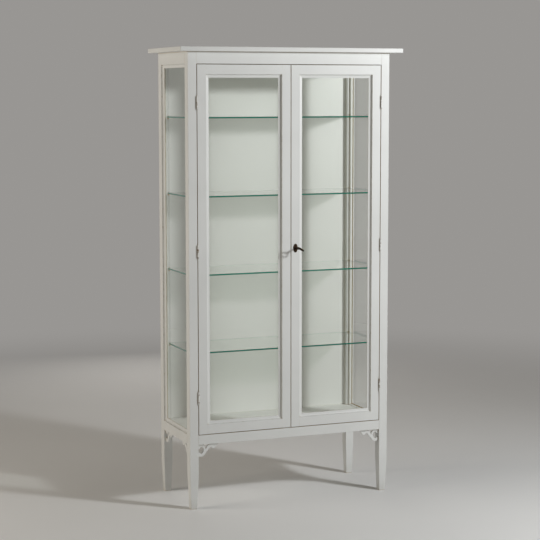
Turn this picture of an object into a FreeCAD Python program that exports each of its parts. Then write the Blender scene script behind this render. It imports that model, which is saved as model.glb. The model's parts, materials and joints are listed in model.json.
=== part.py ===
import FreeCAD, Part
import math
import os

from FreeCAD import Placement, Rotation, Vector

# Display cabinet on four tapered legs: a painted wooden case with a solid back,
# glazed sides, two glazed doors and four loose glass shelves.
# Frame: millimetres, +Z up, the front looks along -Y, the floor is at zero.

# Case
total_height = 1850.0
case_width = 876.0
case_depth = 370.0
edge_ease = 1.0

# Top board
top_thickness = 18.0
top_side_overhang = 43.0
top_front_overhang = 40.0
top_back_overhang = 2.0
top_edge_round = 2.0

# Posts, which run down into the legs
post_width = 36.0
post_depth = 38.0
leg_height = 264.0
foot_taper_height = 140.0
foot_width = 25.0
foot_depth = 27.0

# Rails, and the tenons that hold them in the posts
top_rail_height = 48.0
bottom_rail_height = 39.0
front_rail_thickness = 22.0
side_rail_thickness = 25.0
rear_rail_thickness = 20.0
tenon_thickness = 8.0
tenon_length = 14.0
tenon_shoulder = 6.0

# Back panel, floor board and the strip that the doors close against
back_panel_thickness = 6.0
back_rebate_width = 10.0
back_rebate_depth = 18.0
floor_thickness = 16.0
floor_lip = 6.0
stop_thickness = 12.0
stop_height = 26.0
stop_drop = 10.0

# Doors
door_gap = 2.5
door_seat_clearance = 0.5
stile_width = 37.0
door_rail_height = 38.0
door_tenon_length = 24.0

# Panes, the coved mouldings in front of them and the beads behind them
pane_thickness = 4.0
pane_edge_clearance = 1.0
moulding_width = 14.0
moulding_depth = 11.2
moulding_setback = 0.6
cove_width = 5.5
cove_depth = 8.2
cove_hollow_width = 1.5
cove_hollow_depth = 5.2
fillet_edge_depth = 9.5
bead_width = 10.0
bead_round = 3.0

# Glass shelves on pins
shelf_count = 4
shelf_thickness = 6.0
first_shelf_share = 0.2088
shelf_pitch_share = 0.2062
shelf_post_clearance = 2.0
shelf_bead_clearance = 1.5
pin_radius = 2.5
pin_collar_radius = 4.0
pin_collar_thickness = 1.2
pin_reach = 11.0
pin_sink = 9.0
pin_inset = 6.0
pin_seat_clearance = 0.05
hole_fit = 0.05

# Pierced corner brackets under the rails
bracket_reach = 88.0
bracket_drop = 50.0
bracket_thickness = 9.0
bracket_setback = 8.0

# Butt hinges, three to a door
hinge_height = 50.0
hinge_end_distance = 150.0
leaf_thickness = 1.2
leaf_depth = 16.0
barrel_radius = 3.0
barrel_face_clearance = 0.2
barrel_end_segment = 15.0
barrel_segment_clearance = 0.3
barrel_leaf_clearance = 0.3
hinge_pin_radius = 1.5
hinge_pin_head_radius = 2.4
hinge_pin_head_height = 1.5
running_fit = 0.05
screw_head_radius = 2.8
screw_shank_radius = 1.5
screw_length = 13.0
screw_inset = 9.0
screw_spacing = 32.0

# Lock, key and escutcheon on the meeting stile of the right door
lock_height_share = 0.5
escutcheon_width = 19.0
escutcheon_height = 35.0
escutcheon_thickness = 2.0
escutcheon_round = 0.8
keyhole_radius = 3.4
keyhole_slot_width = 3.2
keyhole_slot_drop = 11.0
lock_case_margin = 0.5
lock_case_width = 35.5
lock_case_below = 15.0
lock_case_above = 20.0
lock_case_depth = 11.0
lock_case_wall = 1.5
bolt_inset = 0.8
bolt_length = 33.0
bolt_base = 3.6
bolt_height = 10.0
bolt_thickness = 4.0
bolt_layer = 1.6
bolt_slot_clearance = 0.3
notch_start = -0.2
notch_width = 12.7
notch_height = 6.6
key_turn = -35.0
key_shank_radius = 2.75
key_bow_distance = 56.0
key_bow_radius = 15.0
key_bow_wire = 2.6
key_collar_radius = 4.2
key_collar_width = 2.5
key_collar_gap = 3.0
key_tip_clearance = 0.6
key_bit_length = 9.5
key_bit_thickness = 2.4
key_bit_width = 4.6
key_bit_layer = 0.8
strike_width = 14.0
strike_height = 34.0
strike_thickness = 1.2

# Bolts behind the meeting stile of the left door
guide_width = 16.0
guide_height = 48.0
guide_plate = 1.5
guide_loop_height = 8.0
guide_loop_depth = 7.2
rod_radius = 2.5
rod_axis_depth = 3.6
rod_length = 62.0
rod_rest_clearance = 2.0
rod_tail = 3.0
rod_hole_fit = 0.5
rod_hole_depth = 13.0
knob_radius = 3.2
knob_reach = 8.0

# Cuts run past the faces that they open by this much
overrun = 1.0

# The key reaches furthest forward, so the depth over the key sets the middle
key_reach = key_bow_distance + key_bow_radius
depth_over_key = key_reach + case_depth + top_back_overhang
front_y = key_reach - depth_over_key / 2
back_y = front_y + case_depth
left_x = -case_width / 2
post_inner_x = left_x + post_width
front_post_back_y = front_y + post_depth
rear_post_front_y = back_y - post_depth

# Heights
case_top_z = total_height - top_thickness
top_rail_z = case_top_z - top_rail_height
bottom_rail_top_z = leg_height + bottom_rail_height
floor_top_z = bottom_rail_top_z + floor_lip
floor_bottom_z = floor_top_z - floor_thickness
stop_bottom_z = top_rail_z - stop_drop

# Doors, measured on the left one and mirrored for the right one
door_thickness = front_rail_thickness - door_seat_clearance
door_back_y = front_y + door_thickness
door_bottom_z = bottom_rail_top_z + door_gap
door_top_z = top_rail_z - door_gap
door_height = door_top_z - door_bottom_z
door_outer_x = post_inner_x + door_gap
door_inner_x = -door_gap / 2
hinge_stile_inner_x = door_outer_x + stile_width
meeting_stile_inner_x = door_inner_x - stile_width
door_opening_width = meeting_stile_inner_x - hinge_stile_inner_x
door_opening_height = door_height - 2 * door_rail_height

# Depths in a glazed frame, measured from its outside face
pane_back_depth = moulding_depth + pane_thickness

# Hinges
hinge_x = post_inner_x + door_gap / 2
hinge_y = front_y - barrel_radius - barrel_face_clearance
hinge_heights = [
    door_bottom_z + hinge_end_distance,
    door_bottom_z + door_height / 2,
    door_top_z - hinge_end_distance,
]

# Shelves
inside_height = case_top_z - floor_top_z
shelf_bottoms = [
    floor_top_z + (first_shelf_share + i * shelf_pitch_share) * inside_height
    for i in range(shelf_count)
]
pin_x = post_inner_x - pin_inset

# Lock
lock_x = -meeting_stile_inner_x - stile_width / 2
lock_z = door_bottom_z + lock_height_share * door_height

# Bolt rods
rod_x = meeting_stile_inner_x + stile_width / 2
rod_y = door_back_y + guide_plate + rod_axis_depth
top_rod_end_z = stop_bottom_z - rod_rest_clearance
bottom_rod_end_z = floor_top_z + rod_rest_clearance

# Bracket outline, as shares of its reach along the rail and its drop down the leg.
# Each entry ends a straight line, or gives the middle and the end of an arc.
bracket_outline_shares = [
    [(0.284, 0.0)],
    [(0.318, -0.18), (0.369, -0.35)],
    [(0.384, -0.372), (0.398, -0.34)],
    [(0.466, -0.17), (0.574, 0.0)],
    [(1.0, 0.0)],
    [(0.852, -0.28)],
    [(0.75, -0.404), (0.665, -0.31)],
    [(0.619, -0.256), (0.568, -0.31)],
    [(0.335, -0.83)],
    [(0.148, -1.0), (0.0, -0.88)],
    [(0.0, -0.76)],
    [(0.0625, -0.66), (0.119, -0.75)],
    [(0.168, -0.776), (0.21, -0.71)],
    [(0.282, -0.44), (0.233, -0.24)],
    [(0.17, -0.196), (0.108, -0.24)],
    [(0.068, -0.344), (0.023, -0.25)],
    [(0.0, -0.18)],
    [(0.0, 0.0)],
]

os.makedirs("parts", exist_ok=True)


def save(name, *solids):
    """Write one node: a single solid, or a group of separate ones."""
    shape = solids[0] if len(solids) == 1 else Part.makeCompound(list(solids))
    shape.exportStep("parts/" + name + ".step")


def mirrored(shape):
    """The same piece on the other side of the cabinet."""
    return shape.mirror(Vector(0, 0, 0), Vector(1, 0, 0))


def block(x0, x1, y0, y1, z0, z1):
    return Part.makeBox(x1 - x0, y1 - y0, z1 - z0, Vector(x0, y0, z0))


def rod(radius, start, end):
    along = end - start
    return Part.makeCylinder(radius, along.Length, start, along)


def joined(first, *others):
    return first.fuse(list(others)).removeSplitter()


def eased(shape, on_edge, radius=edge_ease):
    """Round over the straight edges whose ends both pass the test."""
    edges = [e for e in shape.Edges if all(on_edge(v.Point) for v in e.Vertexes)]
    return shape.makeFillet(radius, edges)


def near(value, target):
    return abs(value - target) < running_fit


def rounded_rectangle(x0, x1, y0, y1, z, radius):
    """A level rectangle with quarter-round corners, as a wire."""
    swell = radius * (1 - math.sqrt(0.5))
    corners = [(x0, y0, 1, 1), (x1, y0, -1, 1), (x1, y1, -1, -1), (x0, y1, 1, -1)]
    arcs = []
    for number, (x, y, sx, sy) in enumerate(corners):
        on_y_side = Vector(x, y + sy * radius, z)
        middle = Vector(x + sx * swell, y + sy * swell, z)
        on_x_side = Vector(x + sx * radius, y, z)
        ends = (on_y_side, on_x_side) if number % 2 == 0 else (on_x_side, on_y_side)
        arcs.append((ends[0], middle, ends[1]))
    edges = []
    for arc, following in zip(arcs, arcs[1:] + arcs[:1]):
        edges.append(Part.Arc(*arc).toShape())
        edges.append(Part.LineSegment(arc[2], following[0]).toShape())
    return Part.Wire(edges)


def post(y0, y1):
    """A left-hand post with its foot tapering evenly on all four sides."""
    x0, x1 = left_x, post_inner_x
    side_taper = (post_width - foot_width) / 2
    depth_taper = (post_depth - foot_depth) / 2
    foot = rounded_rectangle(
        x0 + side_taper, x1 - side_taper, y0 + depth_taper, y1 - depth_taper, 0, edge_ease
    )
    knee = rounded_rectangle(x0, x1, y0, y1, foot_taper_height, edge_ease)
    taper = Part.makeLoft([foot, knee], True, True)
    shaft = Part.Face(knee).extrude(Vector(0, 0, case_top_z - foot_taper_height))
    return joined(taper, shaft)


def cross_rail(x1, y0, y1, z0, z1, tongue):
    """A rail between the left and right pieces, with a tenon at each end."""
    middle = (y0 + y1) / 2
    body = block(-x1, x1, y0, y1, z0, z1)
    tenon = block(
        -x1 - tongue,
        x1 + tongue,
        middle - tenon_thickness / 2,
        middle + tenon_thickness / 2,
        z0 + tenon_shoulder,
        z1 - tenon_shoulder,
    )
    return joined(body, tenon)


def side_rail(z0, z1):
    """A left-hand side rail between the front and rear posts."""
    x0, x1 = left_x, left_x + side_rail_thickness
    middle = (x0 + x1) / 2
    body = block(x0, x1, front_post_back_y, rear_post_front_y, z0, z1)
    tenon = block(
        middle - tenon_thickness / 2,
        middle + tenon_thickness / 2,
        front_post_back_y - tenon_length,
        rear_post_front_y + tenon_length,
        z0 + tenon_shoulder,
        z1 - tenon_shoulder,
    )
    return joined(body, tenon)


def pane_place(across, into, centre):
    """Placement of a pane's own axes: across, up, and into the cabinet."""
    up = Vector(0, 0, 1)
    return Placement(centre, Rotation(across, up, into, "XYZ"))


def mitred_frame(width, height, profile):
    """Four strips round an opening, mitred at the corners, in the pane's own axes.

    The profile is a face in the plane of Y, towards the middle, and Z, the depth.
    """
    reach = profile.BoundBox.YMax
    deep = profile.BoundBox.ZMax + overrun
    strips = []
    for turn, (along, aside) in enumerate([(width, height), (height, width)] * 2):
        start = Vector(-along / 2, -aside / 2, 0)
        strip = profile.extrude(Vector(along, 0, 0))
        plan = Part.makePolygon(
            [
                Vector(0, 0, 0),
                Vector(along, 0, 0),
                Vector(along - reach, reach, 0),
                Vector(reach, reach, 0),
                Vector(0, 0, 0),
            ]
        )
        strip = strip.common(Part.Face(plan).extrude(Vector(0, 0, deep)))
        strip.translate(start)
        strip.rotate(Vector(0, 0, 0), Vector(0, 0, 1), 90 * turn)
        strips.append(strip)
    return strips


def outline(start, steps):
    """A closed wire of lines and arcs; each step gives an end, or a middle and an end."""
    edges = []
    here = start
    for step in steps:
        if len(step) == 1:
            edges.append(Part.LineSegment(here, step[0]).toShape())
        else:
            edges.append(Part.Arc(here, step[0], step[1]).toShape())
        here = step[-1]
    return Part.Wire(edges)


def moulding_profile():
    """A hollow cove beside the frame, then a flat fillet sloping to the glass."""

    def at(across, depth):
        return Vector(0, across, depth)

    return Part.Face(
        outline(
            at(0, moulding_setback),
            [
                [at(cove_hollow_width, cove_hollow_depth), at(cove_width, cove_depth)],
                [at(moulding_width, fillet_edge_depth)],
                [at(moulding_width, moulding_depth)],
                [at(0, moulding_depth)],
                [at(0, moulding_setback)],
            ],
        )
    )


def bead_profile(back_depth):
    """A plain bead behind the glass with its inner corner rounded."""
    swell = bead_round * (1 - math.sqrt(0.5))

    def at(across, depth):
        return Vector(0, across, depth)

    return Part.Face(
        outline(
            at(0, pane_back_depth),
            [
                [at(bead_width, pane_back_depth)],
                [at(bead_width, back_depth - bead_round)],
                [
                    at(bead_width - swell, back_depth - swell),
                    at(bead_width - bead_round, back_depth),
                ],
                [at(0, back_depth)],
                [at(0, pane_back_depth)],
            ],
        )
    )


def glazing(width, height, back_depth, place):
    """Moulding strips, pane and bead strips of one glazed opening."""
    half_width = width / 2 - pane_edge_clearance
    half_height = height / 2 - pane_edge_clearance
    pane = block(
        -half_width, half_width, -half_height, half_height, moulding_depth, pane_back_depth
    )
    mouldings = mitred_frame(width, height, moulding_profile())
    beads = mitred_frame(width, height, bead_profile(back_depth))
    for solid in [pane] + mouldings + beads:
        solid.Placement = place.multiply(solid.Placement)
    return mouldings, pane, beads


def corner_bracket():
    """A pierced bracket growing along +X from a leg, its corner at the origin.

    The two piercings are bays of its outline, open to the leg and to the rail.
    """
    steps = [
        [Vector(a * bracket_reach, 0, b * bracket_drop) for a, b in step]
        for step in bracket_outline_shares
    ]
    sheet = Part.Face(outline(Vector(0, 0, 0), steps))
    return sheet.extrude(Vector(0, bracket_thickness, 0))


def screw(surface_point, direction, margin=0.0):
    """A countersunk screw whose head is flush at the given point."""
    head = Part.makeCone(
        screw_head_radius + margin,
        screw_shank_radius + margin,
        leaf_thickness,
        surface_point,
        direction,
    )
    neck = surface_point + direction * leaf_thickness
    tip = surface_point + direction * (screw_length + margin)
    return joined(head, rod(screw_shank_radius + margin, neck, tip))


def hinge_screw_places(surface_x, direction):
    """Where the screws of the left door's hinges sit, for one leaf of each hinge."""
    return [
        (Vector(surface_x, front_y + screw_inset, z + side * screw_spacing / 2), direction)
        for z in hinge_heights
        for side in (-1, 1)
    ]


def hinge_leaf(plate_x0, plate_x1, z, own_spans):
    """One leaf: a plate in the gap, with barrel segments over its own spans."""
    z0 = z - hinge_height / 2
    clear_y = hinge_y + barrel_radius + barrel_leaf_clearance
    back = front_y + leaf_depth
    leaf = block(plate_x0, plate_x1, clear_y, back, z0, z0 + hinge_height)
    for low, high in own_spans:
        arm = block(plate_x0, plate_x1, hinge_y, clear_y, z0 + low, z0 + high)
        start = Vector(hinge_x, hinge_y, z0 + low)
        barrel = rod(barrel_radius, start, Vector(hinge_x, hinge_y, z0 + high))
        leaf = joined(leaf, arm, barrel)
    bore_start = Vector(hinge_x, hinge_y, z0 - overrun)
    bore_end = Vector(hinge_x, hinge_y, z0 + hinge_height + overrun)
    return leaf.cut(rod(hinge_pin_radius + running_fit, bore_start, bore_end))


def hinge_pin(z):
    """The pin of one hinge with a small flat head at each end."""
    low = z - hinge_height / 2
    high = z + hinge_height / 2

    def at(height):
        return Vector(hinge_x, hinge_y, height)

    shank = rod(hinge_pin_radius, at(low), at(high))
    heads = [
        rod(hinge_pin_head_radius, at(low - hinge_pin_head_height), at(low)),
        rod(hinge_pin_head_radius, at(high), at(high + hinge_pin_head_height)),
    ]
    return joined(shank, *heads)


def keyhole(y0, y1):
    """The opening for the key: a round hole with a slot below it."""
    hole = rod(keyhole_radius, Vector(lock_x, y0, lock_z), Vector(lock_x, y1, lock_z))
    half = keyhole_slot_width / 2
    slot = block(lock_x - half, lock_x + half, y0, y1, lock_z - keyhole_slot_drop, lock_z)
    return joined(hole, slot)


def shelf_pin(face_y, toward, shelf_bottom):
    """A pin in a post on the left, reaching along Y under a shelf."""
    z = shelf_bottom - pin_radius - pin_seat_clearance

    def at(distance):
        return Vector(pin_x, face_y + toward * distance, z)

    shank = rod(pin_radius, at(-pin_sink), at(pin_reach))
    return joined(shank, rod(pin_collar_radius, at(0), at(pin_collar_thickness)))


def shelf_pin_hole(face_y, toward, shelf_bottom):
    z = shelf_bottom - pin_radius - pin_seat_clearance
    sunk = Vector(pin_x, face_y - toward * (pin_sink + hole_fit), z)
    return rod(pin_radius + hole_fit, sunk, Vector(pin_x, face_y + toward * overrun, z))


# Rails of the case
front_top_rail = cross_rail(
    -post_inner_x, front_y, front_y + front_rail_thickness, top_rail_z, case_top_z, tenon_length
)
front_top_rail = eased(front_top_rail, lambda p: near(p.y, front_y) and near(p.z, top_rail_z))
front_bottom_rail = cross_rail(
    -post_inner_x,
    front_y,
    front_y + front_rail_thickness,
    leg_height,
    bottom_rail_top_z,
    tenon_length,
)
front_bottom_rail = eased(
    front_bottom_rail,
    lambda p: near(p.y, front_y) and (near(p.z, leg_height) or near(p.z, bottom_rail_top_z)),
)
rear_rail_back_y = back_y - back_rebate_depth
rear_rail_front_y = rear_rail_back_y - rear_rail_thickness
rear_top_rail = cross_rail(
    -post_inner_x, rear_rail_front_y, rear_rail_back_y, top_rail_z, case_top_z, tenon_length
)
rear_bottom_rail = cross_rail(
    -post_inner_x, rear_rail_front_y, rear_rail_back_y, leg_height, floor_bottom_z, tenon_length
)
left_top_rail = side_rail(top_rail_z, case_top_z)
left_bottom_rail = eased(
    side_rail(leg_height, bottom_rail_top_z),
    lambda p: near(p.x, left_x) and near(p.z, leg_height),
)

save("front_top_rail", front_top_rail)
save("front_bottom_rail", front_bottom_rail)
save("rear_top_rail", rear_top_rail)
save("rear_bottom_rail", rear_bottom_rail)
for name, rail in (("top_rail", left_top_rail), ("bottom_rail", left_bottom_rail)):
    save("left_" + name, rail)
    save("right_" + name, mirrored(rail))

# Posts, mortised for the rails and bored for the shelf pins and hinge screws
case_leaf_inner_x = post_inner_x + leaf_thickness
case_screw_places = hinge_screw_places(case_leaf_inner_x, Vector(-1, 0, 0))
front_post = post(front_y, front_post_back_y).cut(
    [front_top_rail, front_bottom_rail, left_top_rail, left_bottom_rail]
    + [shelf_pin_hole(front_post_back_y, 1, z) for z in shelf_bottoms]
    + [screw(point, way, running_fit) for point, way in case_screw_places]
)
panel_bottom_z = leg_height + tenon_shoulder
back_rebate = block(
    post_inner_x - back_rebate_width,
    post_inner_x + overrun,
    rear_rail_back_y,
    back_y + overrun,
    panel_bottom_z,
    case_top_z + overrun,
)
rear_post = post(rear_post_front_y, back_y).cut(
    [rear_top_rail, rear_bottom_rail, left_top_rail, left_bottom_rail, back_rebate]
    + [shelf_pin_hole(rear_post_front_y, -1, z) for z in shelf_bottoms]
)
save("front_left_post", front_post)
save("front_right_post", mirrored(front_post))
save("rear_left_post", rear_post)
save("rear_right_post", mirrored(rear_post))

# Top board with softly rounded edges
top_board = block(
    left_x - top_side_overhang,
    -left_x + top_side_overhang,
    front_y - top_front_overhang,
    back_y + top_back_overhang,
    case_top_z,
    total_height,
)
save("top_board", top_board.makeFillet(top_edge_round, top_board.Edges))

# Back panel, screwed to the rear rails in the rebates of the rear posts
panel_half_width = back_rebate_width - post_inner_x
panel_back_y = rear_rail_back_y + back_panel_thickness
save(
    "back_panel",
    block(
        -panel_half_width,
        panel_half_width,
        rear_rail_back_y,
        panel_back_y,
        panel_bottom_z,
        case_top_z,
    ),
)

# Floor board, notched round the posts; its front edge stops the doors
floor_half_width = -left_x - side_rail_thickness
rod_hole_radius = rod_radius + rod_hole_fit
floor_board = block(
    -floor_half_width,
    floor_half_width,
    front_y + front_rail_thickness,
    rear_rail_back_y,
    floor_bottom_z,
    floor_top_z,
)
notches = [
    block(left_x, post_inner_x, y0, y1, floor_bottom_z - overrun, floor_top_z + overrun)
    for y0, y1 in ((front_y, front_post_back_y), (rear_post_front_y, back_y))
]
bottom_rod_hole = rod(
    rod_hole_radius,
    Vector(rod_x, rod_y, floor_top_z - rod_hole_depth),
    Vector(rod_x, rod_y, floor_top_z + overrun),
)
save("floor_board", floor_board.cut(notches + [mirrored(n) for n in notches] + [bottom_rod_hole]))

# Strip behind the front top rail that the doors close against
stop_front_y = front_y + front_rail_thickness
door_stop = block(
    post_inner_x,
    -post_inner_x,
    stop_front_y,
    stop_front_y + stop_thickness,
    stop_bottom_z,
    stop_bottom_z + stop_height,
)
top_rod_hole = rod(
    rod_hole_radius,
    Vector(rod_x, rod_y, stop_bottom_z - overrun),
    Vector(rod_x, rod_y, stop_bottom_z + rod_hole_depth),
)
save("door_stop", door_stop.cut(top_rod_hole))

# Glazed sides
side_opening_width = rear_post_front_y - front_post_back_y
side_opening_height = top_rail_z - bottom_rail_top_z
side_centre = Vector(
    left_x,
    (front_post_back_y + rear_post_front_y) / 2,
    (bottom_rail_top_z + top_rail_z) / 2,
)
side_place = pane_place(Vector(0, 1, 0), Vector(1, 0, 0), side_centre)
mouldings, pane, beads = glazing(
    side_opening_width, side_opening_height, side_rail_thickness, side_place
)
save("left_side_glass", pane)
save("right_side_glass", mirrored(pane))
save("side_glazing_mouldings", *mouldings, *[mirrored(m) for m in mouldings])
save("side_glazing_beads", *beads, *[mirrored(b) for b in beads])

# Corner brackets: one at each front leg, and one at each leg on both sides
bracket = corner_bracket()
front_bracket = bracket.copy()
front_bracket.translate(Vector(post_inner_x, front_y + bracket_setback, leg_height))
side_bracket = bracket.copy()
side_bracket.rotate(Vector(0, 0, 0), Vector(0, 0, 1), 90)
side_bracket.translate(
    Vector(left_x + bracket_setback + bracket_thickness, front_post_back_y, leg_height)
)
rear_side_bracket = side_bracket.mirror(side_centre, Vector(0, 1, 0))
save("front_left_bracket", front_bracket)
save("front_right_bracket", mirrored(front_bracket))
save("left_front_bracket", side_bracket)
save("left_rear_bracket", rear_side_bracket)
save("right_front_bracket", mirrored(side_bracket))
save("right_rear_bracket", mirrored(rear_side_bracket))

# Glass shelves and their pins
shelf_half_width = floor_half_width - shelf_bead_clearance
pins = []
for number, bottom in enumerate(shelf_bottoms, start=1):
    shelf = block(
        -shelf_half_width,
        shelf_half_width,
        front_post_back_y + shelf_post_clearance,
        rear_post_front_y - shelf_post_clearance,
        bottom,
        bottom + shelf_thickness,
    )
    save("glass_shelf_%d" % number, shelf)
    for face_y, toward in ((front_post_back_y, 1), (rear_post_front_y, -1)):
        pin = shelf_pin(face_y, toward, bottom)
        pins += [pin, mirrored(pin)]
save("shelf_pins", *pins)

# Hinges
outer_spans = [
    (0, barrel_end_segment),
    (hinge_height - barrel_end_segment, hinge_height),
]
inner_spans = [
    (
        barrel_end_segment + barrel_segment_clearance,
        hinge_height - barrel_end_segment - barrel_segment_clearance,
    )
]
door_leaf_inner_x = door_outer_x - leaf_thickness
door_screw_places = hinge_screw_places(door_leaf_inner_x, Vector(1, 0, 0))
case_sinks = [screw(point, way, running_fit) for point, way in case_screw_places]
door_sinks = [screw(point, way, running_fit) for point, way in door_screw_places]
case_leaves = [
    hinge_leaf(post_inner_x, case_leaf_inner_x, z, outer_spans).cut(case_sinks)
    for z in hinge_heights
]
door_leaves = [
    hinge_leaf(door_leaf_inner_x, door_outer_x, z, inner_spans).cut(door_sinks)
    for z in hinge_heights
]
hinge_pins = [hinge_pin(z) for z in hinge_heights]
case_screws = [screw(point, way) for point, way in case_screw_places]
door_screws = [screw(point, way) for point, way in door_screw_places]
save("case_hinge_leaves", *case_leaves, *[mirrored(leaf) for leaf in case_leaves])
save("hinge_pins", *hinge_pins, *[mirrored(pin) for pin in hinge_pins])
save("case_hinge_screws", *case_screws, *[mirrored(s) for s in case_screws])
save("left_door_hinge_leaves", *door_leaves)
save("right_door_hinge_leaves", *[mirrored(leaf) for leaf in door_leaves])
save("left_door_hinge_screws", *door_screws)
save("right_door_hinge_screws", *[mirrored(s) for s in door_screws])

# Door frames: the rails are tenoned into the stiles
door_middle_x = (hinge_stile_inner_x + meeting_stile_inner_x) / 2


def door_rail(z0, z1, gap_z):
    """A door rail of the left door, its edge along the gap eased."""
    rail = cross_rail(door_opening_width / 2, front_y, door_back_y, z0, z1, door_tenon_length)
    rail.translate(Vector(door_middle_x, 0, 0))
    return eased(rail, lambda p: near(p.y, front_y) and near(p.z, gap_z))


def stile(x0, x1, gap_x, cuts):
    """A stile of the left door, its edge along the gap eased."""
    body = block(x0, x1, front_y, door_back_y, door_bottom_z, door_top_z)
    return eased(body, lambda p: near(p.y, front_y) and near(p.x, gap_x)).cut(cuts)


top_rail = door_rail(door_top_z - door_rail_height, door_top_z, door_top_z)
bottom_rail = door_rail(door_bottom_z, door_bottom_z + door_rail_height, door_bottom_z)
door_rails = [top_rail, bottom_rail]
hinge_stile = stile(door_outer_x, hinge_stile_inner_x, door_outer_x, door_rails + door_sinks)
meeting_stile = stile(meeting_stile_inner_x, door_inner_x, door_inner_x, door_rails)
key_passage = keyhole(front_y - escutcheon_thickness - overrun, door_back_y + overrun)
door_centre = Vector(door_middle_x, front_y, (door_bottom_z + door_top_z) / 2)
door_place = pane_place(Vector(-1, 0, 0), Vector(0, 1, 0), door_centre)
mouldings, pane, beads = glazing(
    door_opening_width, door_opening_height, door_thickness, door_place
)

save("left_door_hinge_stile", hinge_stile)
save("left_door_meeting_stile", meeting_stile)
save("right_door_hinge_stile", mirrored(hinge_stile))
save("right_door_meeting_stile", mirrored(meeting_stile).cut(key_passage))
for name, piece in (("top_rail", top_rail), ("bottom_rail", bottom_rail), ("glass", pane)):
    save("left_door_" + name, piece)
    save("right_door_" + name, mirrored(piece))
for name, strips in (("moulding", mouldings), ("beads", beads)):
    save("left_door_" + name, *strips)
    save("right_door_" + name, *[mirrored(strip) for strip in strips])

# Oval escutcheon round the keyhole
oval = Part.Ellipse(Vector(0, 0, 0), escutcheon_height / 2, escutcheon_width / 2).toShape()
escutcheon = Part.Face(Part.Wire([oval])).extrude(Vector(0, 0, escutcheon_thickness))
escutcheon = escutcheon.makeFillet(
    escutcheon_round,
    [e for e in escutcheon.Edges if near(e.BoundBox.ZMin, escutcheon_thickness)],
)
escutcheon.Placement = Placement(
    Vector(lock_x, front_y, lock_z),
    Rotation(Vector(0, 0, 1), Vector(-1, 0, 0), Vector(0, -1, 0), "XYZ"),
)
save("escutcheon", escutcheon.cut(key_passage))

# Lock case behind the stile: a shallow pan, open to the wood, with a slot for the bolt
case_x0 = door_gap / 2 + lock_case_margin
case_x1 = case_x0 + lock_case_width
case_back_y = door_back_y + lock_case_depth
lock_case = block(
    case_x0,
    case_x1,
    door_back_y,
    case_back_y,
    lock_z - lock_case_below,
    lock_z + lock_case_above,
)
hollow = block(
    case_x0 + lock_case_wall,
    case_x1 - lock_case_wall,
    door_back_y - overrun,
    case_back_y - lock_case_wall,
    lock_z - lock_case_below + lock_case_wall,
    lock_z + lock_case_above - lock_case_wall,
)
bolt_y0 = door_back_y + bolt_layer
bolt_z0 = lock_z + bolt_base
bolt_slot = block(
    case_x0 - overrun,
    case_x0 + lock_case_wall + overrun,
    bolt_y0 - bolt_slot_clearance,
    bolt_y0 + bolt_thickness + bolt_slot_clearance,
    bolt_z0 - bolt_slot_clearance,
    bolt_z0 + bolt_height + bolt_slot_clearance,
)
save("lock_case", lock_case.cut([hollow, bolt_slot]))

# Lock bolt, drawn back, with the notch that the key's bit pushes in
bolt_x0 = door_gap / 2 + bolt_inset
lock_bolt = block(
    bolt_x0,
    bolt_x0 + bolt_length,
    bolt_y0,
    bolt_y0 + bolt_thickness,
    bolt_z0,
    bolt_z0 + bolt_height,
)
notch_x0 = lock_x + notch_start
notch = block(
    notch_x0,
    notch_x0 + notch_width,
    bolt_y0 - overrun,
    bolt_y0 + bolt_thickness + overrun,
    bolt_z0 - overrun,
    bolt_z0 + notch_height,
)
save("lock_bolt", lock_bolt.cut(notch))

# Key: ring bow, collars, shank and bit, modelled level and then turned on its axis
bow_centre = Vector(lock_x, front_y - key_bow_distance, lock_z)
bow_inner_y = bow_centre.y + key_bow_radius - key_bow_wire
shank_end = Vector(lock_x, case_back_y - lock_case_wall - key_tip_clearance, lock_z)
bow = Part.makeTorus(key_bow_radius - key_bow_wire, key_bow_wire, bow_centre, Vector(0, 0, 1))
shank = rod(key_shank_radius, Vector(lock_x, bow_inner_y, lock_z), shank_end)
collar_y = bow_inner_y + key_bow_wire + key_collar_gap
collars = []
for place in range(2):
    start_y = collar_y + place * (key_collar_width + key_collar_gap)
    start = Vector(lock_x, start_y, lock_z)
    collars.append(rod(key_collar_radius, start, start + Vector(0, key_collar_width, 0)))
bit_y0 = door_back_y + key_bit_layer
bit = block(
    lock_x,
    lock_x + key_bit_length,
    bit_y0,
    bit_y0 + key_bit_width,
    lock_z - key_bit_thickness / 2,
    lock_z + key_bit_thickness / 2,
)
key = joined(bow, shank, bit, *collars)
key.rotate(Vector(lock_x, front_y, lock_z), Vector(0, 1, 0), -key_turn)
save("key", key)

# Strike plate on the back of the left door, in front of the thrown bolt
strike_z = bolt_z0 + bolt_height / 2
save(
    "strike_plate",
    block(
        door_inner_x - strike_width,
        door_inner_x,
        door_back_y,
        door_back_y + strike_thickness,
        strike_z - strike_height / 2,
        strike_z + strike_height / 2,
    ),
)


def bolt_guide(z0):
    """A plate with two loops behind the left meeting stile, for a sliding rod."""
    x0, x1 = rod_x - guide_width / 2, rod_x + guide_width / 2
    plate_back_y = door_back_y + guide_plate
    z1 = z0 + guide_height
    plate = block(x0, x1, door_back_y, plate_back_y, z0, z1)
    loops = [
        block(
            rod_x - guide_loop_depth / 2,
            rod_x + guide_loop_depth / 2,
            plate_back_y,
            plate_back_y + guide_loop_depth,
            low,
            low + guide_loop_height,
        )
        for low in (z0, z1 - guide_loop_height)
    ]
    bore = rod(
        rod_radius + running_fit,
        Vector(rod_x, rod_y, z0 - overrun),
        Vector(rod_x, rod_y, z1 + overrun),
    )
    return joined(plate, *loops).cut(bore)


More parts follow.
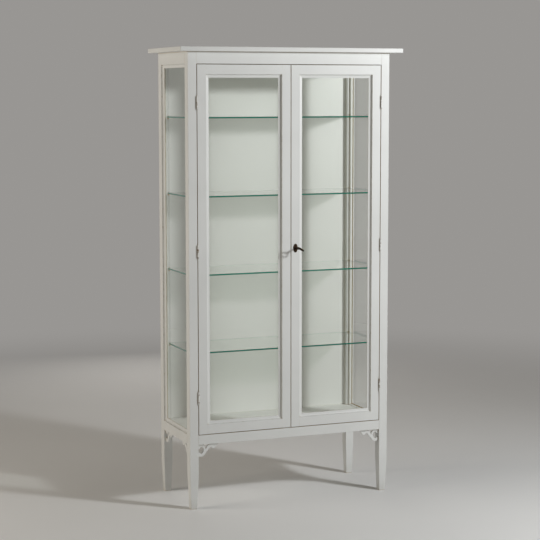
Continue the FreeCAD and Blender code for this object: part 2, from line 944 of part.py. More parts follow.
def sliding_rod(z0, knob_z):
    """A round rod with a turned knob on its back."""
    shaft = rod(rod_radius, Vector(rod_x, rod_y, z0), Vector(rod_x, rod_y, z0 + rod_length))
    knob_end = Vector(rod_x, rod_y + rod_radius + knob_reach, knob_z)
    return joined(shaft, rod(knob_radius, Vector(rod_x, rod_y, knob_z), knob_end))


top_rod_z0 = top_rod_end_z - rod_length
top_guide_z0 = top_rod_z0 + rod_tail
bottom_guide_z0 = bottom_rod_end_z + rod_length - rod_tail - guide_height
knob_offset = guide_loop_height + knob_radius + overrun
top_knob_z = top_guide_z0 + knob_offset
bottom_knob_z = bottom_guide_z0 + guide_height - knob_offset
save("bolt_guides", bolt_guide(top_guide_z0), bolt_guide(bottom_guide_z0))
save("top_bolt", sliding_rod(top_rod_z0, top_knob_z))
save("bottom_bolt", sliding_rod(bottom_rod_end_z, bottom_knob_z))
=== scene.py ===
# %% [markdown]
# A white display cabinet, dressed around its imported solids.
# The solids already have the true shapes and sizes, so this lesson is mostly about finishes:
# satin paint on wood, clear panes, green-edged shelves and small metal fittings.
# The solids are loaded once as a fixed frame and never moved.

import json
import math

import bmesh
import bpy
from mathutils import Matrix, Vector


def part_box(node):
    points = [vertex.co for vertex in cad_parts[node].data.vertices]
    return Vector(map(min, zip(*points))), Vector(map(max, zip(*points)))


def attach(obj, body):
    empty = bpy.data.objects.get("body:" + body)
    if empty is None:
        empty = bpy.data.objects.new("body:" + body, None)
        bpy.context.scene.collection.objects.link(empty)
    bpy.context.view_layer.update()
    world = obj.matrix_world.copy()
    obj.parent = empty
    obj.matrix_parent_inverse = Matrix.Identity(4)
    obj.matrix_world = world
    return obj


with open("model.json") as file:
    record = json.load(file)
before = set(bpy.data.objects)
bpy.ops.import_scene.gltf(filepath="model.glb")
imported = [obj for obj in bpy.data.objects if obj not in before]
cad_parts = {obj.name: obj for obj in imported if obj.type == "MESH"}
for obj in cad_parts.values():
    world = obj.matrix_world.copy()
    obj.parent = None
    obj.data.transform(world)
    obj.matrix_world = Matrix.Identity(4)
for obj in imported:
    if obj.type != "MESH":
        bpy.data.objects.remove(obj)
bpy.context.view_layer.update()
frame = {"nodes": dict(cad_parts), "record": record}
nodes = frame["nodes"]

# %% [markdown]
# A camera can be matched to a photograph by fitting a few measured corners.
# Here the fit gave a long lens, left of the cabinet and above its middle, so upright edges stay
# almost parallel. The case front is the plane that it was fitted to, so the place is written
# from there.

# %% Camera at the photograph's angle
case_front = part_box("front_left_post")[0].y
CAMERA_SIDE, CAMERA_BACK, CAMERA_HEIGHT = -2.5073, 5.9681, 1.6678
CAMERA_YAW, CAMERA_PITCH, CAMERA_ROLL = 22.040, 6.287, 0.06
LENS_MM, SENSOR_MM = 106.85, 36.0

camera_data = bpy.data.cameras.new("camera")
camera_data.lens = LENS_MM
camera_data.sensor_width = SENSOR_MM
camera = bpy.data.objects.new("camera", camera_data)
bpy.context.scene.collection.objects.link(camera)
camera.location = (CAMERA_SIDE, case_front - CAMERA_BACK, CAMERA_HEIGHT)
camera.rotation_euler = (
    math.radians(90 - CAMERA_PITCH),
    math.radians(CAMERA_ROLL),
    math.radians(-CAMERA_YAW),
)
bpy.context.scene.camera = camera
print("camera at", [round(v, 3) for v in camera.location])

# %% [markdown]
# A finish is a small network of nodes, and most finishes here start the same way:
# an output, one Principled shader, and the object's own coordinates in metres.
# These helpers add a node, start a finish and find its output again.

# %% Start a node network


def add_node(tree, kind, inputs=None, **settings):
    """Add one node, set its properties, then its input values or links by name or number."""
    node = tree.nodes.new(kind)
    for name, value in settings.items():
        setattr(node, name, value)
    for name, value in (inputs or {}).items():
        if isinstance(value, bpy.types.NodeSocket):
            tree.links.new(value, node.inputs[name])
        else:
            node.inputs[name].default_value = value
    return node


def start_finish(name):
    """A new material with one Principled shader; gives material, tree, shader and coordinates."""
    finish = bpy.data.materials.new(name)
    finish.use_nodes = True
    tree = finish.node_tree
    tree.nodes.clear()
    output = tree.nodes.new("ShaderNodeOutputMaterial")
    shader = add_node(tree, "ShaderNodeBsdfPrincipled")
    tree.links.new(shader.outputs["BSDF"], output.inputs["Surface"])
    place = add_node(tree, "ShaderNodeTexCoord").outputs["Object"]
    return finish, tree, shader, place


def output_of(tree):
    return next(node for node in tree.nodes if node.type == "OUTPUT_MATERIAL")


print("helpers ready")

# %% [markdown]
# The other helpers each add one step that the finishes share: a noise, a change of range, one
# value made from two, a ramp or blend of colours, the feel of near surfaces, and a bump.
# Most noise values lie between 0.3 and 0.7, so that range has a name.

# %% Steps that finishes share
BLACK, WHITE = (0, 0, 0), (1, 1, 1)
NOISE_RANGE = (0.3, 0.7)


def noise(tree, place, scale, detail, roughness=0.5):
    """Noise at a place, as a factor."""
    inputs = {"Vector": place, "Scale": scale, "Detail": detail, "Roughness": roughness}
    return add_node(tree, "ShaderNodeTexNoise", inputs).outputs["Fac"]


def rescale(tree, value, old, new, **settings):
    """Bring a value from one range to another."""
    inputs = {"Value": value, "From Min": old[0], "From Max": old[1]}
    inputs.update({"To Min": new[0], "To Max": new[1]})
    return add_node(tree, "ShaderNodeMapRange", inputs, **settings).outputs["Result"]


def combine(tree, operation, first, second):
    """One value from two, by the named operation."""
    inputs = {0: first, 1: second}
    return add_node(tree, "ShaderNodeMath", inputs, operation=operation).outputs["Value"]


def ramp(tree, factor, low, high, low_colour, high_colour):
    """A two-stop colour ramp between two factor values."""
    node = add_node(tree, "ShaderNodeValToRGB", {"Fac": factor})
    node.color_ramp.elements[0].position = low
    node.color_ramp.elements[0].color = (*low_colour, 1)
    node.color_ramp.elements[1].position = high
    node.color_ramp.elements[1].color = (*high_colour, 1)
    return node.outputs["Color"]


def blend(tree, factor, first, second):
    """Mix two colours by a factor, each a colour or a link."""
    node = add_node(tree, "ShaderNodeMix", {0: factor}, data_type="RGBA")
    for socket, value in ((node.inputs[6], first), (node.inputs[7], second)):
        if isinstance(value, bpy.types.NodeSocket):
            tree.links.new(value, socket)
        else:
            socket.default_value = (*value, 1)
    return node.outputs[2]


def axis_part(tree, vector, axis):
    return add_node(tree, "ShaderNodeSeparateXYZ", {"Vector": vector}).outputs[axis]


def upward(tree):
    """How far a face looks up, from -1 to 1."""
    facing = add_node(tree, "ShaderNodeNewGeometry").outputs["True Normal"]
    return axis_part(tree, facing, "Z")


def openness(tree, reach, samples, inside=False):
    """How free the surroundings of a point are, felt up to a reach in metres."""
    node = add_node(
        tree, "ShaderNodeAmbientOcclusion", {"Distance": reach}, samples=samples, inside=inside
    )
    return node.outputs["AO"]


def add_bump(tree, shader, height, strength, depth, invert=False):
    inputs = {"Height": height, "Strength": strength, "Distance": depth}
    bump = add_node(tree, "ShaderNodeBump", inputs, invert=invert)
    tree.links.new(bump.outputs["Normal"], shader.inputs["Normal"])


print("most noise lies in", NOISE_RANGE)

# %% [markdown]
# The wood is brushed with satin off-white paint. A brush leaves fine streaks along each piece,
# so the paint is made three times, with noise stretched along X, Y or Z.
# Corners and gaps get a painted brown shade. An occlusion node places it by feeling a few
# millimetres around each point. The same node, feeling inward, finds sharp edges,
# where hands have rubbed the paint thin in places, and the feet carry scuffs near the floor.
# Faces that look up have gathered a film of dust, which takes their shine.

# %% Satin paint, brushed along one direction
CASE_WHITE = ((0.70, 0.705, 0.685), (0.735, 0.74, 0.72))
# Painted light: a lighter copy of the case white for the inside, which brightens the inside of the
# case
LIT_INSIDE_WHITE = ((0.865, 0.87, 0.84), (0.895, 0.90, 0.87))
# Painted shade: brown laid into corners and gaps where shade falls, and a lighter one inside the
# case
PAINTED_SHADE = (0.42, 0.27, 0.08)
INSIDE_PAINTED_SHADE = (0.62, 0.59, 0.50)
RUBBED, MOST_RUBBED = (0.52, 0.49, 0.42), (0.7, 0.7, 0.7)
SCUFF, MOST_SCUFFED, SCUFF_HEIGHT = (0.50, 0.48, 0.43), 0.62, 0.05
STREAK_FINE, STREAK_LONG, STREAK_DEPTH = 420.0, 9.0, 0.0006
CLOUD_SCALE, MARK_SCALE = 5.0, 70.0
CORNER_SHADE_REACH, EDGE_REACH = 0.006, 0.002
SATIN, PAINT_SHINE = (0.36, 0.48), 0.42
DUST, WIPED, LOOKS_UP = 0.85, 0.6, (0.6, 0.95)


def brushed_paint(name, along, whites, corner_shade, dust=DUST):
    """Brushed paint whose streaks run along one axis, with painted brown shade in its corners and
    gaps.
    """
    finish, tree, shader, place = start_finish(name)
    scale = [STREAK_FINE] * 3
    scale["xyz".index(along)] = STREAK_LONG
    stretched = add_node(tree, "ShaderNodeMapping", {"Vector": place, "Scale": scale})
    streaks = noise(tree, stretched.outputs["Vector"], 1.0, 3.0, 0.55)
    clouds = noise(tree, place, CLOUD_SCALE, 3.0)
    marks = noise(tree, place, MARK_SCALE, 6.0, 0.7)
    colour = ramp(tree, clouds, 0.35, 0.65, *whites)

    near_edge = ramp(tree, openness(tree, EDGE_REACH, 4, inside=True), 0.55, 0.85, WHITE, BLACK)
    rubbed_here = ramp(tree, marks, 0.52, 0.64, BLACK, MOST_RUBBED)
    colour = blend(tree, combine(tree, "MULTIPLY", near_edge, rubbed_here), colour, RUBBED)

    # Painted shade: corners and gaps turn brown where the occlusion node feels near surfaces
    shaded_corner = ramp(tree, openness(tree, CORNER_SHADE_REACH, 6), 0.25, 0.80, WHITE, BLACK)
    colour = blend(tree, shaded_corner, colour, corner_shade)

    height = axis_part(tree, place, "Z")
    near_floor = rescale(tree, height, (0.0, SCUFF_HEIGHT), (MOST_SCUFFED, 0.0))
    colour = blend(tree, combine(tree, "MULTIPLY", near_floor, marks), colour, SCUFF)
    tree.links.new(colour, shader.inputs["Base Color"])

    satin = rescale(tree, streaks, NOISE_RANGE, SATIN)
    dusty = rescale(tree, upward(tree), LOOKS_UP, (0.0, dust))
    tree.links.new(combine(tree, "MAXIMUM", satin, dusty), shader.inputs["Roughness"])
    add_bump(tree, shader, streaks, 0.10, STREAK_DEPTH)
    shader.inputs["Specular IOR Level"].default_value = PAINT_SHINE
    return finish


paint = {
    along: brushed_paint("satin_paint_" + along, along, CASE_WHITE, PAINTED_SHADE) for along in "xyz"
}
# Inside pieces get the lighter white as painted light; the beads also get the brown painted shade
inside_paint = {
    "back_panel": brushed_paint("panel_paint", "z", LIT_INSIDE_WHITE, INSIDE_PAINTED_SHADE),
    "side_glazing_beads": brushed_paint("bead_paint", "z", LIT_INSIDE_WHITE, PAINTED_SHADE),
    "floor_board": brushed_paint("floor_paint", "x", LIT_INSIDE_WHITE, INSIDE_PAINTED_SHADE, WIPED),
}
print("paints:", len(paint) + len(inside_paint))

# %% [markdown]
# Each painted node gets the paint that was brushed along its longest side.
# The box of the node tells which side that is, so no list of names is needed for it.
# The back panel, the floor board and the beads of the side panes are inside. They get a lighter
# copy of the white paint, which is painted light that brightens the inside of the case.
# The floor board is wiped now and then, so less dust dulls it than the top.

# %% Paint every wooden node along its length
slot_of = {part["node"]: part["material_slot"] for part in frame["record"]["subparts"]}


def nodes_in(*slots):
    return [node for node, slot in slot_of.items() if slot in slots]


def long_axis(node):
    low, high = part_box(node)
    size = high - low
    return "xyz"[max(range(3), key=lambda i: size[i])]


def dress(node, finish):
    mesh = nodes[node].data
    mesh.materials.clear()
    mesh.materials.append(finish)


for node in nodes_in("white_paint"):
    dress(node, inside_paint.get(node) or paint[long_axis(node)])
print("painted nodes:", len(nodes_in("white_paint")))

# %% [markdown]
# Window glass is clear, with a trace of green. The camera sees real refraction and reflection.
# Light on its way to the shelves and the back panel is harder: traced through refraction it
# comes out as noise. So rays from lamps and from painted walls pass straight through. Those from
# lamps lose the share that a real pane throws back, which is small straight on and nearly all
# at a grazing angle.

# %% Light that passes glass
GLASS_IOR = 1.5
PANE_TINT = (0.982, 0.99, 0.978)
# Slant of the ray, from straight on to grazing, and the share that one face throws back
THROWN_BACK = ((0.0, 0.03), (0.5, 0.07), (0.65, 0.14), (0.77, 0.26), (0.9, 0.52), (1.0, 0.9))


def share_passing(tree, tint):
    """The colour of light that passes one face, by the slant of the ray."""
    slant = add_node(tree, "ShaderNodeLayerWeight", {"Blend": 0.5}).outputs["Facing"]
    scale = add_node(tree, "ShaderNodeValToRGB", {"Fac": slant})
    stops = scale.color_ramp.elements
    for place, _ in THROWN_BACK[len(stops):]:
        stops.new(place)
    for stop, (place, back) in zip(stops, THROWN_BACK):
        stop.position = place
        stop.color = (*[(1 - back) * part for part in tint], 1)
    return scale.outputs["Color"]


def let_light_through(tree, shader, tint):
    """Let light of lamps and walls pass the glass, less what a slanting ray loses."""
    from_lamps = add_node(tree, "ShaderNodeBsdfTransparent", {"Color": share_passing(tree, tint)})
    from_walls = add_node(tree, "ShaderNodeBsdfTransparent", {"Color": (*tint, 1)})
    path = add_node(tree, "ShaderNodeLightPath")
    seen_or_lamps = add_node(
        tree,
        "ShaderNodeMixShader",
        {
            0: path.outputs["Is Shadow Ray"],
            1: shader.outputs["BSDF"],
            2: from_lamps.outputs["BSDF"],
        },
    )
    all_rays = add_node(
        tree,
        "ShaderNodeMixShader",
        {
            0: path.outputs["Is Diffuse Ray"],
            1: seen_or_lamps.outputs["Shader"],
            2: from_walls.outputs["BSDF"],
        },
    )
    tree.links.new(all_rays.outputs["Shader"], output_of(tree).inputs["Surface"])


print("one face of a pane throws back", THROWN_BACK[0][1], "to", THROWN_BACK[-1][1])

# %% [markdown]
# The panes of the doors and sides are drawn sheet. A very weak bump gives it slow waves, and a
# thin film of dust makes it a little rough in places.

# %% Clear panes
WAVE_SCALE, WAVE_DEPTH, FILM_ROUGHNESS = 6.0, 0.002, 0.03


def clear_glass():
    finish, tree, shader, place = start_finish("clear_glass")
    shader.inputs["Base Color"].default_value = (*PANE_TINT, 1)
    shader.inputs["Transmission Weight"].default_value = 1.0
    shader.inputs["IOR"].default_value = GLASS_IOR
    film = noise(tree, place, WAVE_SCALE, 2.0)
    rough = rescale(tree, film, (0.4, 0.8), (0.0, FILM_ROUGHNESS))
    tree.links.new(rough, shader.inputs["Roughness"])
    add_bump(tree, shader, film, 0.02, WAVE_DEPTH)
    let_light_through(tree, shader, PANE_TINT)
    return finish


pane_glass = clear_glass()
for node in nodes_in("clear_glass"):
    dress(node, pane_glass)
print("panes:", nodes_in("clear_glass"))

# %% [markdown]
# A glass shelf looks clear from above and deep green along its edge, because light that leaves
# the edge has crossed a long way of glass. One way is a volume that absorbs red; it is slow and
# noisy. Here the edge faces, whose normals lie level, simply get a denser green glass.

# %% Shelves with green edges
SHELF_FACE = (0.955, 0.98, 0.96)
SHELF_EDGE = (0.01, 0.5, 0.36)
EDGE_TO_FACE, EDGE_CLEARNESS = (0.3, 0.7), 0.3
GRIND_SCALE, GROUND_EDGE = 300.0, (0.05, 0.2)


def shelf_glass():
    finish, tree, shader, place = start_finish("shelf_glass")
    flat = add_node(tree, "ShaderNodeMath", {0: upward(tree)}, operation="ABSOLUTE")
    flat = flat.outputs["Value"]
    colour = ramp(tree, flat, *EDGE_TO_FACE, SHELF_EDGE, SHELF_FACE)
    tree.links.new(colour, shader.inputs["Base Color"])
    through = rescale(tree, flat, EDGE_TO_FACE, (EDGE_CLEARNESS, 1.0))
    tree.links.new(through, shader.inputs["Transmission Weight"])
    edge_rough = rescale(tree, noise(tree, place, GRIND_SCALE, 2.0), NOISE_RANGE, GROUND_EDGE)
    rough = add_node(tree, "ShaderNodeMix", {0: flat, 2: edge_rough, 3: 0.0})
    tree.links.new(rough.outputs[0], shader.inputs["Roughness"])
    shader.inputs["IOR"].default_value = GLASS_IOR
    let_light_through(tree, shader, SHELF_FACE)
    return finish


shelf_finish = shelf_glass()
for node in nodes_in("shelf_glass"):
    dress(node, shelf_finish)
print("shelves:", nodes_in("shelf_glass"))

# %% [markdown]
# The fittings are small, so their metal needs little: patches that wander between a bright and
# a dull colour, smoother where they are bright, and a very fine bump.

# %% Metals of the fittings
PATCH_SCALE, PATCH_DEPTH = 240.0, 0.0003
METALS = {
    # slot: name, bright colour, dull colour, roughness of dull and of bright patches
    "steel": ("plated_steel", (0.72, 0.70, 0.66), (0.55, 0.53, 0.49), (0.42, 0.25)),
    "brass": ("polished_brass", (0.80, 0.62, 0.30), (0.62, 0.46, 0.20), (0.35, 0.18)),
    "dark_bronze": ("dark_bronze", (0.085, 0.05, 0.03), (0.022, 0.015, 0.011), (0.55, 0.32)),
}


def fitting_metal(name, bright, dull, roughness):
    finish, tree, shader, place = start_finish(name)
    patches = noise(tree, place, PATCH_SCALE, 5.0, 0.6)
    colour = ramp(tree, patches, 0.38, 0.68, dull, bright)
    tree.links.new(colour, shader.inputs["Base Color"])
    rough = rescale(tree, patches, NOISE_RANGE, roughness)
    tree.links.new(rough, shader.inputs["Roughness"])
    shader.inputs["Metallic"].default_value = 1.0
    add_bump(tree, shader, patches, 0.08, PATCH_DEPTH)
    return finish


metals = {slot: fitting_metal(*values) for slot, values in METALS.items()}
for node in nodes_in(*metals):
    dress(node, metals[slot_of[node]])
print("metal nodes:", len(nodes_in(*metals)))

# %% [markdown]
# The hinges were painted over with the case, and their knuckles have rubbed the paint away in
# brown patches; the seams between knuckles get the same brown as painted shade. Their flat leaves,
# shut between door and post, kept the plating unpainted. Both are one finish: the depth of a point
# behind the case front says which of the two it shows.

# %% Hinges painted over
# The dark brown stands for worn-through metal and, in the seams, for painted shade
HINGE_BARE_AND_SHADE = (0.17, 0.12, 0.075)
PLATED = (0.60, 0.58, 0.54)
FRONT_BLUR, SEAM_SHADE_REACH = 0.0003, 0.001
WEAR_SCALE, WEAR_DEPTH, HINGE_ROUGHNESS = 130.0, 0.0002, (0.36, 0.55)


def painted_hinge():
    """Worn paint with painted shade in its seams in front of the case front, plated steel behind
    it.
    """
    finish, tree, shader, place = start_finish("painted_hinge")
    front_zone = (case_front - FRONT_BLUR, case_front + FRONT_BLUR)
    hidden = rescale(tree, axis_part(tree, place, "Y"), front_zone, (0.0, 1.0))
    patches = noise(tree, place, WEAR_SCALE, 4.0, 0.6)
    worn = ramp(tree, patches, 0.53, 0.60, BLACK, WHITE)
    # Painted shade: the seams between knuckles get the dark brown too
    shaded_seam = ramp(tree, openness(tree, SEAM_SHADE_REACH, 6), 0.2, 0.5, WHITE, BLACK)
    wear_and_seam_shade = combine(tree, "MAXIMUM", worn, shaded_seam)
    front = blend(tree, wear_and_seam_shade, CASE_WHITE[0], HINGE_BARE_AND_SHADE)
    tree.links.new(blend(tree, hidden, front, PLATED), shader.inputs["Base Color"])
    tree.links.new(hidden, shader.inputs["Metallic"])
    rough = rescale(tree, patches, NOISE_RANGE, HINGE_ROUGHNESS)
    tree.links.new(rough, shader.inputs["Roughness"])
    add_bump(tree, shader, wear_and_seam_shade, 0.15, WEAR_DEPTH, invert=True)
    return finish


hinge_paint = painted_hinge()
for node in nodes_in("painted_steel"):
    dress(node, hinge_paint)
print("painted hinges:", nodes_in("painted_steel"))

# %% [markdown]
# Small slotted screws hold the lock, its strike plate, the bolt guides and the back panel, and
# two round pins hold the escutcheon. A head could be a plain disc, but the slot is what makes it
# read as a screw: a disc is cut by two planes, raised to the bottom of the slot, and then only
# the two cheeks are raised further and their rim is rounded.

# %% Shapes of a slotted head and a round pin
HEAD_SIDES = 24
SLOT_SHARE, RIM_SHARE, DOME_SHARE = 0.17, 0.3, 0.75
ALMOST, FACES_UP = 0.99, 0.9


def raise_faces(shape, faces, height):
    """Extrude faces straight up."""
    raised = bmesh.ops.extrude_face_region(shape, geom=faces)["geom"]
    verts = [item for item in raised if isinstance(item, bmesh.types.BMVert)]
    bmesh.ops.translate(shape, verts=verts, vec=(0, 0, height))
    bmesh.ops.recalc_face_normals(shape, faces=shape.faces[:])


def round_rim(shape, radius, height, offset):
    """Bevel the edges that run round the top."""

    def on_rim(vert):
        return vert.co.z > ALMOST * height and vert.co.xy.length > ALMOST * radius

    rim = [edge for edge in shape.edges if all(on_rim(vert) for vert in edge.verts)]
    bmesh.ops.bevel(
        shape, geom=rim, offset=offset, affect="EDGES", segments=3, profile=0.5, material=-1
    )


def slotted_head(radius, height):
    shape = bmesh.new()
    bmesh.ops.create_circle(shape, cap_ends=True, radius=radius, segments=HEAD_SIDES)
    slot_side = SLOT_SHARE * radius
    for side in (-slot_side, slot_side):
        whole = shape.verts[:] + shape.edges[:] + shape.faces[:]
        bmesh.ops.bisect_plane(shape, geom=whole, plane_co=(0, side, 0), plane_no=(0, 1, 0))
    raise_faces(shape, shape.faces[:], height / 2)
    cheeks = [
        face
        for face in shape.faces
        if face.normal.z > FACES_UP and abs(face.calc_center_median().y) > slot_side
    ]
    raise_faces(shape, cheeks, height / 2)
    round_rim(shape, radius, height, RIM_SHARE * height)
    return shape


def round_pin(radius, height):
    shape = bmesh.new()
    bmesh.ops.create_circle(shape, cap_ends=True, radius=radius, segments=HEAD_SIDES)
    raise_faces(shape, shape.faces[:], height)
    round_rim(shape, radius, height, DOME_SHARE * height)
    return shape


print("a head has", HEAD_SIDES, "sides")

# %% [markdown]
# The heads of one plate become one piece, which rides on the body of that plate.
# Real slots point anywhere, so each head is turned a little further than the last one.

# %% Put copies of a head in their places
SLOT_TURN = math.radians(47)
TO_FRONT, TO_BACK = -1, 1


def fasten(name, head, places, outward, body, slot):
    """Copies of one head as one piece; outward is the sign of the way they look along Y."""
    group, single = bmesh.new(), bpy.data.meshes.new(name + "_one")
    tip_over = Matrix.Rotation(-outward * math.pi / 2, 4, "X")
    for number, place in enumerate(places):
        copy = head.copy()
        slot_angle = Matrix.Rotation(number * SLOT_TURN, 4, "Z")
        turned = Matrix.Translation(place) @ tip_over @ slot_angle
        bmesh.ops.transform(copy, matrix=turned, verts=copy.verts)
        copy.to_mesh(single)
        copy.free()
        group.from_mesh(single)
    head.free()
    bpy.data.meshes.remove(single)
    mesh = bpy.data.meshes.new(name)
    group.to_mesh(mesh)
    group.free()
    mesh.materials.append(metals[slot])
    piece = bpy.data.objects.new(name, mesh)
    bpy.context.scene.collection.objects.link(piece)
    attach(piece, body)
    print(name, len(places))


def corners(low, high, inset_x, inset_z, depth):
    """Four places on an upright face, set in from its corners."""
    return [
        (x, depth, z)
        for x in (low.x + inset_x, high.x - inset_x)
        for z in (low.z + inset_z, high.z - inset_z)
    ]


def ends(low, high, inset, depth):
    """Two places on the middle line of an upright face, set in from its ends."""
    middle = (low.x + high.x) / 2
    return [(middle, depth, z) for z in (low.z + inset, high.z - inset)]


def between(first, last, count):
    return [first + (last - first) * i / (count - 1) for i in range(count)]


print("each head is turned by", round(math.degrees(SLOT_TURN)), "degrees more")

# %% [markdown]
# Every head is placed from the box of the plate that it holds, so it stays on that plate.
# The two bolt guides share one box, so the guides' own height tells where each one ends.

# %% Pins and screws of the lock, the strike plate and the bolt guides
# Radius and height of each head
PIN, LOCK_HEAD = (0.0011, 0.0007), (0.0024, 0.0009)
STRIKE_HEAD, GUIDE_HEAD = (0.0022, 0.0002), (0.0019, 0.0008)
# How far each head sits in from the edges of its plate
PIN_INSET, LOCK_INSET, STRIKE_INSET = 0.0033, 0.004, 0.0045
GUIDE_INSETS = (0.0024, 0.004)
GUIDE_HEIGHT, GUIDE_PLATE = 0.048, 0.0015

low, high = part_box("escutcheon")
pin_places = ends(low, high, PIN_INSET, low.y)
fasten("escutcheon_pins", round_pin(*PIN), pin_places, TO_FRONT, "right_door", "dark_bronze")

low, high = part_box("lock_case")
lock_places = corners(low, high, LOCK_INSET, LOCK_INSET, high.y)
fasten("lock_screws", slotted_head(*LOCK_HEAD), lock_places, TO_BACK, "right_door", "steel")

low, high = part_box("strike_plate")
strike_places = ends(low, high, STRIKE_INSET, high.y)
fasten("strike_screws", slotted_head(*STRIKE_HEAD), strike_places, TO_BACK, "left_door", "steel")

low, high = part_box("bolt_guides")
rise = Vector((0, 0, high.z - low.z - GUIDE_HEIGHT))
plate_face = low.y + GUIDE_PLATE
guide_places = corners(low, high - rise, *GUIDE_INSETS, plate_face)
guide_places += corners(low + rise, high, *GUIDE_INSETS, plate_face)
fasten("bolt_guide_screws", slotted_head(*GUIDE_HEAD), guide_places, TO_BACK, "left_door", "steel")

# %% [markdown]
# The back panel is screwed to the posts along both sides and to the rails above and below.

# %% Screws of the back panel
PANEL_HEAD = (0.0035, 0.0012)
SIDE_INSET, END_INSET, SIDE_COUNT = 0.005, 0.03, 5
LOW_ROW, HIGH_ROW, ROW_REACH, ROW_COUNT = 0.012, 0.024, 0.2, 3

low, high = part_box("back_panel")
panel_places = [
    (x, high.y, z)
    for x in (low.x + SIDE_INSET, high.x - SIDE_INSET)
    for z in between(low.z + END_INSET, high.z - END_INSET, SIDE_COUNT)
]
panel_places += [
    (x, high.y, z)
    for z in (low.z + LOW_ROW, high.z - HIGH_ROW)
    for x in between(-ROW_REACH, ROW_REACH, ROW_COUNT)
]
fasten("back_panel_screws", slotted_head(*PANEL_HEAD), panel_places, TO_BACK, "cabinet", "steel")

# %% [markdown]
# The floor is a wide pale sheet. Far away it takes the plain colour of the background, so no
# horizon cuts behind the cabinet, and near the feet it keeps its soft shadow.

# %% Floor and background
BACKDROP = (0.315, 0.305, 0.293)
FLOOR = (0.78, 0.78, 0.775)
FLOOR_DARKER = tuple(0.985 * part for part in FLOOR)
FLOOR_REACH, FADE_FROM, FADE_TO = 30.0, 1.6, 5.0
FLOOR_ROUGHNESS, FLOOR_SHINE, SPECKLE_SCALE = 0.8, 0.1, 2.0


def floor_finish():
    finish, tree, shader, place = start_finish("pale_floor")
    speckle = noise(tree, place, SPECKLE_SCALE, 2.0)
    colour = ramp(tree, speckle, *NOISE_RANGE, FLOOR_DARKER, FLOOR)
    tree.links.new(colour, shader.inputs["Base Color"])
    shader.inputs["Roughness"].default_value = FLOOR_ROUGHNESS
    shader.inputs["Specular IOR Level"].default_value = FLOOR_SHINE
    distance = add_node(tree, "ShaderNodeVectorMath", {0: place}, operation="LENGTH")
    fade = (FADE_FROM, FADE_TO)
    far = rescale(
        tree, distance.outputs["Value"], fade, (0.0, 1.0), interpolation_type="SMOOTHSTEP"
    )
    plain = add_node(tree, "ShaderNodeEmission", {"Color": (*BACKDROP, 1), "Strength": 1.0})
    mix = add_node(
        tree,
        "ShaderNodeMixShader",
        {0: far, 1: shader.outputs["BSDF"], 2: plain.outputs["Emission"]},
    )
    tree.links.new(mix.outputs["Shader"], output_of(tree).inputs["Surface"])
    return finish


floor_shape = bmesh.new()
bmesh.ops.create_grid(floor_shape, x_segments=1, y_segments=1, size=FLOOR_REACH)
floor_mesh = bpy.data.meshes.new("floor")
floor_shape.to_mesh(floor_mesh)
floor_shape.free()
floor_mesh.materials.append(floor_finish())
floor = bpy.data.objects.new("floor", floor_mesh)
bpy.context.scene.collection.objects.link(floor)
print("floor:", FLOOR_REACH, "m each way")

# %% [markdown]
# The surroundings give a low, warm, even light. Where they are seen, straight on, through glass
# or as a reflection, they show the plain background colour instead.

# %% Surroundings
FILL_COLOUR, FILL_STRENGTH = (1.0, 0.90, 0.77), 0.10

world = bpy.data.worlds.new("studio")
bpy.context.scene.world = world
world.use_nodes = True
sky = world.node_tree
sky.nodes.clear()
path = add_node(sky, "ShaderNodeLightPath").outputs
seen = combine(sky, "MAXIMUM", path["Is Camera Ray"], path["Is Transmission Ray"])
seen_or_mirrored = combine(sky, "MAXIMUM", seen, path["Is Glossy Ray"])
fill_inputs = {"Color": (*FILL_COLOUR, 1), "Strength": FILL_STRENGTH}
fill = add_node(sky, "ShaderNodeBackground", fill_inputs)
backdrop = add_node(sky, "ShaderNodeBackground", {"Color": (*BACKDROP, 1), "Strength": 1.0})
sky_mix = add_node(
    sky,
    "ShaderNodeMixShader",
    {0: seen_or_mirrored, 1: fill.outputs["Background"], 2: backdrop.outputs["Background"]},
)
add_node(sky, "ShaderNodeOutputWorld", {"Surface": sky_mix.outputs["Shader"]})
print("surroundings at", FILL_STRENGTH)

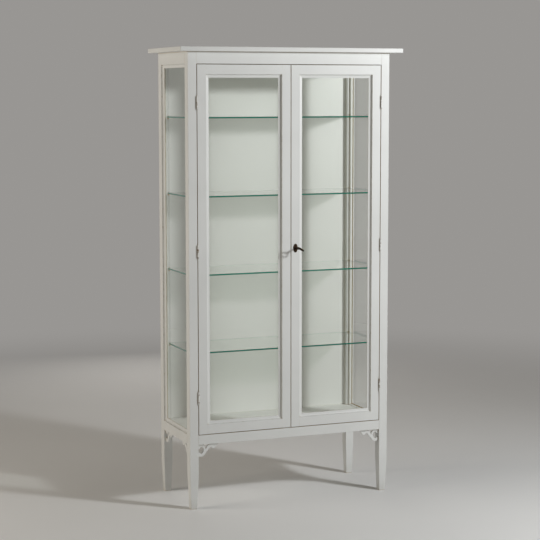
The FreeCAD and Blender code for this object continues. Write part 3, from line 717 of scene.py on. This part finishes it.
# %% [markdown]
# The main lamp stands to the right in front, a little above the cabinet. The shadows in the
# photograph give its place: the ring of the key, the shelves and the posts each throw one, and
# the lines from shadow to edge meet near one point. Half-shadows grow with the size of a lamp,
# so a bright core with a wider, weaker halo gives both the ring's shadow and the soft ones
# behind the shelves. A warm, wide lamp fills the left side, and weak ones the back and the top.
# Only the main lamp makes the paint shine: the others would leave glints along the edges.
# In a studio the lamps are placed so that none is mirrored in the glass. Here light linking does
# that: the glass leaves the lamps out, and their light still passes through it.

# %% Soft studio lamps
COOL, WARM, PALE_WARM = (0.965, 0.985, 1.0), (1.0, 0.93, 0.83), (1.0, 0.96, 0.9)
LAMPS = {
    # name: place, aim, width, height, beam in degrees, watts, colour
    "key_light": ((2.0, -2.40, 2.08), (0.0, 0.0, 1.0), 0.30, 0.28, 180, 54.5, COOL),
    "key_halo": ((2.0, -2.45, 2.08), (0.0, 0.0, 1.0), 1.0, 1.1, 180, 19.0, COOL),
    "left_fill": ((-3.6, 0.3, 1.6), (0.0, 0.0, 0.9), 2.2, 2.2, 180, 50.0, WARM),
    "rear_fill": ((0.6, 3.6, 1.3), (0.0, 0.0, 1.0), 1.6, 1.6, 180, 16.0, PALE_WARM),
    "panel_light": ((0.0, 1.2, 1.2), (0.0, 0.2, 1.2), 0.9, 1.4, 70, 0.85, PALE_WARM),
    "top_light": ((0.0, 0.05, 2.4), (0.0, 0.05, 1.85), 0.9, 0.3, 180, 2.4, PALE_WARM),
}

glass_pieces = bpy.data.collections.new("glass_pieces")
for node in nodes_in("clear_glass", "shelf_glass"):
    glass_pieces.objects.link(nodes[node])
for entry in glass_pieces.collection_objects:
    entry.light_linking.link_state = "EXCLUDE"

for name, (place, aim, width, height, beam, watts, colour) in LAMPS.items():
    lamp_data = bpy.data.lights.new(name, "AREA")
    lamp_data.shape = "ELLIPSE"
    lamp_data.size = width
    lamp_data.size_y = height
    lamp_data.spread = math.radians(beam)
    lamp_data.energy = watts
    lamp_data.color = colour
    lamp = bpy.data.objects.new(name, lamp_data)
    bpy.context.scene.collection.objects.link(lamp)
    lamp.location = place
    lamp.rotation_euler = (Vector(aim) - Vector(place)).to_track_quat("-Z", "Y").to_euler()
    lamp.visible_camera = False
    lamp.visible_glossy = name.startswith("key")
    lamp.light_linking.receiver_collection = glass_pieces
bpy.context.scene.view_settings.view_transform = "Standard"
print("lamps:", list(LAMPS))
